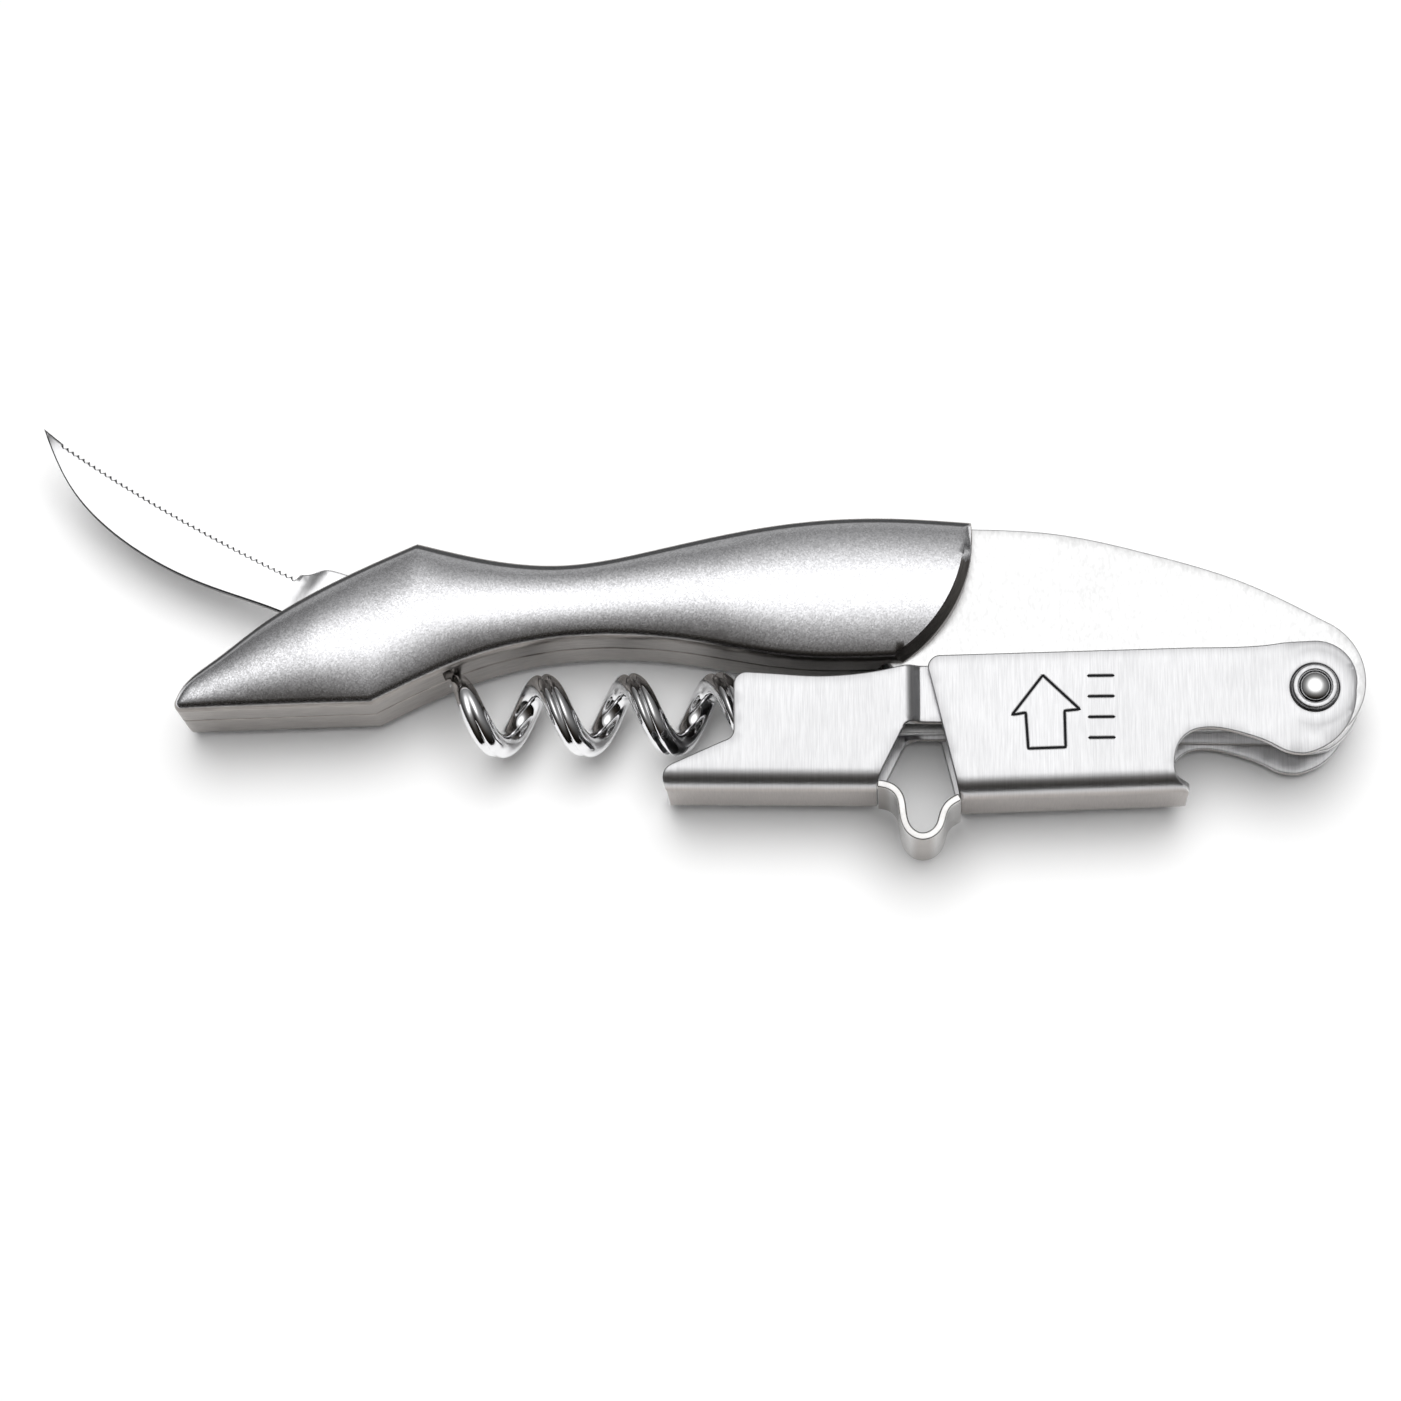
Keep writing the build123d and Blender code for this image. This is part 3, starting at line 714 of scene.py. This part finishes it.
def blade_loop():
    """Spine, teeth, the bump at the heel, and the round tang."""
    heel = spline([(11.95, -0.5), (11.3, -0.85), (10.6, -1.6), (9.8, -2.2), (8.6, -2.6), (6.0, -3.1),
                   (2.0, -3.3)])
    tang = arc((2.0, -3.3), (-3.6, 0.0), (2.0, 3.3))
    return closed(on_blade(SPINE), on_blade(blade_teeth()), on_blade(heel), on_blade(tang))


def blade_half(p):
    """Half the thickness: full at the tang, thinner past the plunge, honed at the teeth."""
    q = p - np.array([BLADE_PIVOT.x, BLADE_PIVOT.y])
    s, t = q @ ALONG, q @ TO_SPINE
    top = np.interp(s, SPINE[:, 0], SPINE[:, 1])
    share = np.clip((t - edge_t(s)) / np.maximum(top - edge_t(s), 0.3), 0, 1)
    ground = EDGE_HALF + SPINE_GAIN * share
    plunge = smoothstep((s - PLUNGE_AT - PLUNGE_SLANT * t) / PLUNGE_LENGTH)
    honed = 1 - smoothstep((t - edge_t(s) + HONE_FROM) / HONE_WIDTH)
    hone = 1 - HONE_LOSS * honed * (s < TEETH_TO)
    return TANG_HALF * (1 - plunge) + ground * hone * plunge


hone_points = on_blade([(s, edge_t(s) + w) for s in np.arange(11.6, 41.5, 0.34)
                        for w in (0.12, 0.24, 0.36)])
# Painted shade: dark lines along the spine, the tip, the teeth and the row of tooth points, for the
# shadowed edge faces and tooth flanks.
blade_shade_lines = [SPINE[SPINE[:, 0] > 9.0], line(SPINE[-1], blade_teeth()[0], 0.2), blade_teeth(),
               [(s, edge_t(s)) for s in np.arange(TEETH_FROM, TEETH_TO, TOOTH_PITCH / 4)]]
blade = bent_sheet("foil_blade", blade_loop(), [circle((BLADE_PIVOT.x, BLADE_PIVOT.y), 1.56)],
                   flat_at(0.0001), blade_half, 0.14, "blade", BLADE, 0.6, hone_points,
                   [on_blade(edge) for edge in blade_shade_lines])
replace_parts(blade, "blade")


# ---------------------------------------------------------------- worm
TIP_X, PITCH, COIL_R, WIRE_R = -86.2, 8.8, 3.0, 1.3
NECK_AT, NECK_TURNS = 3.55, 0.75  # where the coil runs in to its axis, in turns from the point
TIP_FLARE, TIP_TURNS = 0.75, 0.35
FLUTE_DEPTH, FLUTE_HALF, FLUTE_AT = 0.32, 0.22, 0.15


def worm_path(u):
    """Centre of the wire after u turns from the point, and the outward direction there."""
    a = 2 * math.pi * u
    reach = COIL_R * (1 - smoothstep((u - NECK_AT) / NECK_TURNS))
    reach += TIP_FLARE * (1 - smoothstep(u / TIP_TURNS))
    outward = np.array([0, math.cos(a), math.sin(a)])
    return np.array([TIP_X + PITCH * u, WORM_PIVOT.y, 0]) + float(reach) * outward, outward


def worm():
    """A wire wound round the worm's axis, pointed at one end, with a flute along its outer side."""
    turns = np.concatenate([np.linspace(-0.06, 0.3, 24)[:-1], np.linspace(0.3, 4.35, 330)])
    around = 56
    points, faces = [], []
    for k, u in enumerate(turns):
        here, outward = worm_path(u)
        ahead, _ = worm_path(u + 0.004)
        behind, _ = worm_path(u - 0.004)
        along = (ahead - behind) / np.linalg.norm(ahead - behind)
        outward = outward - along * (outward @ along)
        outward /= np.linalg.norm(outward)
        side = np.cross(along, outward)
        radius = WIRE_R * (0.07 + 0.93 * math.sin(math.pi / 2 * min(1, max(0, u + 0.06) / 0.36)) ** 0.9)
        flute = float(smoothstep((u - 0.12) / 0.3) * (1 - smoothstep((u - 3.5) / 0.5)))
        for i in range(around):
            b = 2 * math.pi * i / around
            off = (b + math.pi) % (2 * math.pi) - math.pi - FLUTE_AT
            r = radius * (1 - flute * FLUTE_DEPTH * math.exp(-(off / FLUTE_HALF) ** 2))
            points.append(here + r * (math.cos(b) * outward + math.sin(b) * side))
    rows = len(turns)
    for k in range(rows - 1):
        for i in range(around):
            j = (i + 1) % around
            faces.append((k * around + i, k * around + j, (k + 1) * around + j, (k + 1) * around + i))
    faces.append(tuple(range(around)))
    faces.append(tuple(range((rows - 1) * around, rows * around)))
    return make_object("worm_wire", points, faces, "worm", CHROME)


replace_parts(worm(), "worm")
EYE = [(1.32, -1.55), (1.5, -1.74), (2.3, -1.74), (2.62, -1.45), (2.7, -0.9), (2.7, 0.9), (2.62, 1.45),
       (2.3, 1.74), (1.5, 1.74), (1.32, 1.55)]
turned("worm_eye", EYE, WORM_PIVOT, "worm", CHROME)


# ---------------------------------------------------------------- levers
SHEET_HALF = 0.45
WALL_MID = 5.05
BEND = 1.65
BEND_LENGTH = math.pi * BEND / 2


class Channel:
    """A U-shaped lever: a wall at Z = WALL_MID on each side, joined along the bottom by a web."""

    def __init__(self, left, right, joggle=None):
        (self.x0, self.y0), (self.x1, self.y1) = left, right
        self.joggle = joggle
        self.web_half = WALL_MID - BEND

    def mid_y(self, x):
        """Y of the web's middle plane."""
        return self.y0 + (self.y1 - self.y0) * (x - self.x0) / (self.x1 - self.x0) + SHEET_HALF

    def flat(self, points):
        """Wall points (x, y) as points (x, s) of the flat pattern."""
        p = np.array(points, float)
        up = p[:, 1] - self.mid_y(p[:, 0])
        bend = np.arccos(np.clip(1 - up / BEND, -1, 1))
        s = np.where(up > BEND, self.web_half + BEND_LENGTH + up - BEND, self.web_half + BEND * bend)
        return np.column_stack([p[:, 0], s])

    def wall_z(self, x):
        """Z of the near wall's middle plane; past a joggle it lies further in."""
        if self.joggle is None:
            return np.full(len(x), WALL_MID)
        return WALL_MID - smoothstep((x - self.joggle) / 1.5)

    def place(self, p):
        """Positions and normals of the flat pattern's points, folded up."""
        x, s = p[:, 0], np.abs(p[:, 1])
        side = np.where(p[:, 1] < 0, -1.0, 1.0)
        a = np.clip((s - self.web_half) / BEND, 0, math.pi / 2)
        wall = np.maximum(s - self.web_half - BEND_LENGTH, 0)
        z = np.minimum(s, self.web_half) + BEND * np.sin(a) + self.wall_z(x) - WALL_MID
        y = self.mid_y(x) + BEND * (1 - np.cos(a)) + wall
        slope = (self.wall_z(x + 0.01) - self.wall_z(x - 0.01)) / 0.02
        normal = np.stack([-slope * np.sin(a), -np.cos(a), np.sin(a)], 1)
        normal /= np.linalg.norm(normal, axis=1)[:, None]
        z *= side
        normal[:, 2] *= side
        return np.stack([x, y, z], 1), normal

    def loop(self, wall_line):
        """The whole flat pattern's outline, from the near wall's."""
        near = self.flat(wall_line)
        far = near[::-1] * np.array([1, -1])
        return closed(near, line(near[-1], far[0]), far, line(far[-1], near[0]))

    def bend_points(self, x_low, x_high, step=0.8):
        """Rows of points along both bends."""
        xs = np.arange(x_low + 0.4, x_high - 0.2, step)
        rows = self.web_half + BEND * np.radians((0, 15, 30, 45, 60, 75, 90))
        return [(x, sign * s) for x in xs for s in rows for sign in (1, -1)]


EAR_FROM_X, EAR_DISH = -3.4, 0.22


def ear_dish(at):
    """The push lever's ear is pressed down a little towards its rim, round the pivot."""
    reach = np.hypot(at[:, 0], at[:, 1])
    on_ear = (at[:, 0] > EAR_FROM_X) * smoothstep((at[:, 0] - EAR_FROM_X) / 2.4)
    return EAR_DISH * smoothstep((reach - 3.0) / 1.9) * on_ear


def lever(name, channel, wall_line, holes, extra, body, nodes, grooves=(), dish=None):
    """A folded lever from its near wall's outline, holes and cut, inked lines, all in X and Y."""
    flat_holes = []
    for h in holes:
        near = channel.flat(h)
        flat_holes += [near, (near * np.array([1, -1]))[::-1]]
    piece = bent_sheet(name, channel.loop(wall_line), flat_holes, channel.place, SHEET_HALF, 0.14,
                       body, LEVER, 1.2, extra, [channel.flat(g) for g in grooves], dish)
    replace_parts(piece, *nodes)


BOOT = Channel((-64.6, -9.5), (-43.5, -9.8), joggle=-40.6)
boot_line = joined(
    [(-64.5, -9.05)],
    spline([(-64.6, -9.0), (-64.8, -8.5), (-64.6, -7.7), (-64.0, -7.15)], 0.12),
    line((-64.0, -7.15), (-58.6, -4.75)),
    arc((-58.6, -4.75), (-57.9, -4.3), (-57.7, -3.6), 0.12),
    line((-57.7, -3.6), (-57.7, 0.9)),
    arc((-57.7, 0.9), (-57.3, 1.85), (-56.3, 2.2), 0.12),
    spline([(-56.3, 2.2), (-53.5, 2.0), (-49.5, 1.72), (-45.0, 1.95), (-42.0, 2.45), (-40.4, 2.8),
            (-38.5, 2.85)]),
    line((-38.5, 2.85), (-1.0, 3.9)),
    arc((-1.0, 3.9), (4.0, 0.0), (-3.0, -3.8)),
    line((-3.0, -3.8), (-39.4, -2.95)),
    arc((-39.4, -2.95), (-40.3, -3.0), (-40.8, -3.6), 0.12),
    line((-40.8, -3.6), (-43.1, -8.2)),
    spline([(-43.1, -8.2), (-43.4, -8.8), (-43.5, -9.35)], 0.12))
joggle_points = [(x, sign * s) for x in np.arange(-41.0, -38.7, 0.2)
                 for s in np.arange(10.2, 17.5, 0.6) for sign in (1, -1)]
lever("boot_channel", BOOT, boot_line, [circle((0, 0), RING_R)],
      BOOT.bend_points(-64.5, -43.5) + joggle_points, "boot_lever", ["boot_lever"])

PUSH = Channel((-35.2, -10.7), (-12.5, -10.1))
push_line = joined(
    [(-35.2, -10.25)],
    line((-35.4, -9.8), (-38.2, 1.9)),
    arc((-38.2, 1.9), (-38.05, 3.2), (-36.9, 3.7), 0.12),
    line((-36.9, 3.7), (-12.0, 4.2)),
    spline([(-12.0, 4.2), (-7.5, 4.22), (-4.5, 4.4), (-2.3, 4.68), (-0.2, 4.8)]),
    arc((-0.2, 4.8), (3.35, 3.3), (4.15, -0.2)),
    arc((4.15, -0.2), (2.3, -4.9), (-1.2, -6.7)),
    spline([(-1.2, -6.7), (-2.8, -6.5), (-4.6, -5.6), (-6.8, -4.75), (-8.8, -4.2), (-11.0, -4.02),
            (-12.4, -4.4), (-13.4, -5.3), (-13.9, -6.6), (-14.0, -7.8), (-13.7, -8.8), (-13.1, -9.3)],
           0.2),
    [(-12.75, -9.5), (-12.5, -9.65)])


def outline_points(corners, step=0.12):
    """A closed outline with straight sides."""
    return np.concatenate([line(a, b, step)[:-1] for a, b in zip(corners, corners[1:] + corners[:1])])


ARROW = [(-26.9, 1.5), (-23.3, -2.0), (-24.8, -2.15), (-24.75, -5.85), (-28.45, -5.95), (-28.65, -2.3),
         (-30.0, -2.5)]
GRIP_BARS = [[(-22.4, y), (-19.9, y)] for y in (1.4, -0.7, -2.8, -4.9)]
push_grooves = [outline_points(ARROW)] + [line(*b, 0.12) for b in GRIP_BARS]
ear_points = [tuple(q) for r in (2.9, 3.3, 3.8, 4.3) for q in PUSH.flat(circle((0, 0), r, 40))]
ear_points += [(x, -q) for x, q in ear_points]
lever("push_channel", PUSH, push_line, [circle((0, 0), 2.42)],
      PUSH.bend_points(-35.2, -13.0) + ear_points, "push_lever", ["push_lever"], push_grooves,
      ear_dish)


# ---------------------------------------------------------------- loop spring
STRIP_HALF = 0.4
STRIP_HALF_WIDTH = 5.46
LOOP_LINE = joined(
    spline([(-43.45, -9.3), (-42.6, -9.45), (-41.75, -9.9), (-41.2, -10.7), (-41.0, -11.7),
            (-40.85, -12.8), (-40.4, -13.9), (-39.3, -14.65), (-38.1, -14.45), (-37.3, -13.6),
            (-36.95, -12.5), (-36.5, -11.6), (-35.9, -11.1), (-35.25, -10.75)], 0.15))


def loop_spring():
    """The strip's own length is the pattern's first axis and its width the second."""
    steps = np.concatenate([[0], np.cumsum(np.linalg.norm(np.diff(LOOP_LINE, axis=0), axis=1))])
    length = steps[-1]

    def at(q):
        return np.stack([np.interp(q, steps, LOOP_LINE[:, 0]), np.interp(q, steps, LOOP_LINE[:, 1])], 1)

    def place(p):
        here = at(p[:, 0])
        along = at(np.minimum(p[:, 0] + 0.1, length)) - at(np.maximum(p[:, 0] - 0.1, 0))
        along /= np.linalg.norm(along, axis=1)[:, None]
        normal = np.column_stack([along[:, 1], -along[:, 0], np.zeros(len(p))])
        return np.column_stack([here, p[:, 1]]), normal

    corners = [(0, -STRIP_HALF_WIDTH), (length, -STRIP_HALF_WIDTH), (length, STRIP_HALF_WIDTH),
               (0, STRIP_HALF_WIDTH)]
    flat = closed(*[line(a, b, 0.15) for a, b in zip(corners, corners[1:] + corners[:1])])
    piece = bent_sheet("loop_strip", flat, [], place, STRIP_HALF, 0.16, None, SPRING,
                       0.6)
    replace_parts(piece, "loop_spring")
    return piece


loop = loop_spring()
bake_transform(loop)


# ---------------------------------------------------------------- main pivot
def pivot_ring(name, side):
    """Bushing round the rivet, with a rolled flange on the lever's face."""
    profile = [(1.54, 0.02), (1.54, 5.9), (1.62, 6.05), (1.74, 6.13), (1.8, 6.14), (2.1, 6.14),
               (2.2, 6.1), (2.29, 5.97), (2.32, 5.8), (2.32, 5.58), (1.98, 5.56), (1.98, 0.02)]
    piece = turned(name, [(r, z * side) for r, z in profile], (0, 0), "handle", TURNED)
    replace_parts(piece, ("near" if side > 0 else "far") + "_pivot_ring")


for ring_side, half_name in ((1, "near"), (-1, "far")):
    pivot_ring(half_name + "_rolled_ring", ring_side)
RIVET_R, RIVET_EDGE_Z, RIVET_DOME = 1.46, 5.95, 0.55
dome = [(RIVET_R * math.sin(math.radians(a)), RIVET_EDGE_Z + RIVET_DOME * math.cos(math.radians(a)))
        for a in range(10, 91, 10)]
dome = [(0, RIVET_EDGE_Z + RIVET_DOME)] + dome
rivet = turned("domed_rivet", dome + [(r, -z) for r, z in dome[::-1]], (0, 0), "handle",
               RIVET)
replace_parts(rivet, "main_rivet")


# ---------------------------------------------------------------- carried CAD nodes
CARRIED = dict.fromkeys(("blade_pin", "blade_washers", "worm_pin", "worm_washers", "pivot_washers",
                         "liner_rivets", "near_shell_screws", "far_shell_screws"), TURNED)
CARRIED["centre_spacer"] = PLATE
for node_name, finish in CARRIED.items():
    finishes = frame["nodes"][node_name].data.materials
    finishes.clear()
    finishes.append(finish)


# ---------------------------------------------------------------- floor, light and camera
def floor():
    """A plain white sheet that the tool lies on."""
    bm = bmesh.new()
    bmesh.ops.create_grid(bm, x_segments=2, y_segments=2, size=1.5)
    mesh = bpy.data.meshes.new("floor")
    bm.to_mesh(mesh)
    bm.free()
    piece = bpy.data.objects.new("floor", mesh)
    bpy.context.scene.collection.objects.link(piece)
    mat, _, shader = node_tree("floor_white")
    shader.inputs["Base Color"].default_value = (0.93, 0.93, 0.93, 1)
    shader.inputs["Roughness"].default_value = 0.9
    mesh.materials.append(mat)


LIGHT_FROM = Vector((0.04, 0.22, 0.97)).normalized()


def table_light():
    """A soft pool of light on the floor from overhead.

    The metal doesn't mirror this lamp, but the studio's own brightness.
    """
    data = bpy.data.lights.new("table_light", "SPOT")
    data.energy = 34
    data.shadow_soft_size = 0.42
    data.spot_size = math.radians(58)
    data.spot_blend = 0.6
    lamp = bpy.data.objects.new("table_light", data)
    lamp.location = PIVOT + Vector((-0.045, -0.01, 0)) + LIGHT_FROM * 0.8
    lamp.rotation_mode = "QUATERNION"
    lamp.rotation_quaternion = (-LIGHT_FROM).to_track_quat("-Z", "Y")
    lamp.visible_glossy = False
    bpy.context.scene.collection.objects.link(lamp)


def studio():
    """A broad bright cloth overhead that dims down to the horizon, and dark in front of the table."""
    world = bpy.data.worlds.new("studio")
    bpy.context.scene.world = world
    world.use_nodes = True
    tree = world.node_tree
    back = tree.nodes["Background"]
    where = add(tree, "ShaderNodeTexCoord").outputs["Generated"]
    ahead = {0: where, 1: tuple(LIGHT_FROM)}
    toward = add(tree, "ShaderNodeVectorMath", ahead, operation="DOT_PRODUCT")
    tone = add(tree, "ShaderNodeValToRGB", {"Fac": toward.outputs["Value"]})
    stops = tone.color_ramp.elements
    stops[0].position, stops[0].color = 0.0, (0.015, 0.015, 0.015, 1)
    stops[1].position, stops[1].color = 0.985, (1.0, 1.0, 1.0, 1)
    for place_at, level in ((0.4, 0.07), (0.7, 0.14), (0.82, 0.22), (0.88, 0.36), (0.93, 0.66)):
        stops.new(place_at).color = (level, level, level, 1)
    depth = add(tree, "ShaderNodeSeparateXYZ", {"Vector": where}).outputs["Y"]
    front = add(tree, "ShaderNodeMapRange", {"Value": depth, "From Min": -0.75, "From Max": -0.1})
    shade = ramp(tree, front.outputs[0], (0.2, 0.17, 0.14), 1.0, (0.0, 1.0))
    shaded = {0: tone.outputs["Color"], 1: shade}
    cloth = add(tree, "ShaderNodeVectorMath", shaded, operation="MULTIPLY")
    tree.links.new(cloth.outputs[0], back.inputs["Color"])
    back.inputs["Strength"].default_value = 1.65


def camera():
    """Above the tool and a little in front of it, level across the frame."""
    data = bpy.data.cameras.new("camera")
    data.sensor_width, data.lens = 36.0, 120.8
    cam = bpy.data.objects.new("camera", data)
    bpy.context.scene.collection.objects.link(cam)
    look = Vector((-0.0454, 0.2219, -0.9740)).normalized()
    right = Vector((0.9989, 0.0, -0.0465))
    right = (right - look * right.dot(look)).normalized()
    up = right.cross(look)
    turn = Matrix((right, up, -look)).transposed().to_4x4()
    cam.matrix_world = Matrix.Translation(PIVOT + Vector((-39.7, -104.7, 461.9)) * MM) @ turn
    bpy.context.scene.camera = cam


floor()
table_light()
studio()
camera()
bpy.context.scene.view_settings.view_transform = "Standard"
